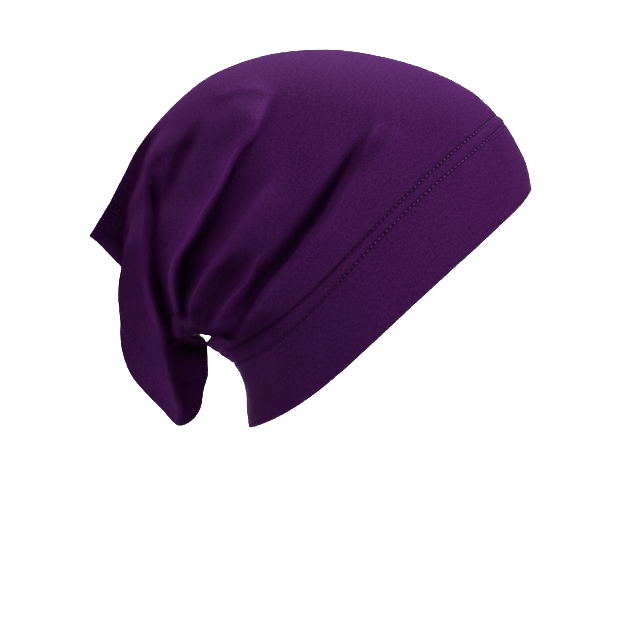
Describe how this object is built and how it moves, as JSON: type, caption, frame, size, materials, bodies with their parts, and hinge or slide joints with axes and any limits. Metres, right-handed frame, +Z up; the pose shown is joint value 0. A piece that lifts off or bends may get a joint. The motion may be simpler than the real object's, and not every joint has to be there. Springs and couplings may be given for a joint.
{
  "type": "pre-tied headscarf",
  "caption": "Slouching stretch-jersey tube cap: a wide doubled band round the face, a draped crown gathered at the nape, and an open hemmed tail hanging behind.",
  "frame": {"origin": "inside of the crown's top, where the wearer's head seats, on the plane of symmetry of the head", "axes": "+X the way the wearer faces, +Z up, -Y towards the wearer's right"},
  "size_m": [0.2565, 0.1563, 0.2192],
  "materials": {
    "band_jersey": "doubled fine cotton jersey, matt with a soft sheen",
    "crown_jersey": "fine cotton jersey, matt with a soft sheen",
    "hem_jersey": "doubled fine cotton jersey, matt with a soft sheen"
  },
  "bodies": {
    "root": {"front_band": "band_jersey", "crown_tube": "crown_jersey", "tail_hem": "hem_jersey"}
  },
  "joints": []
}
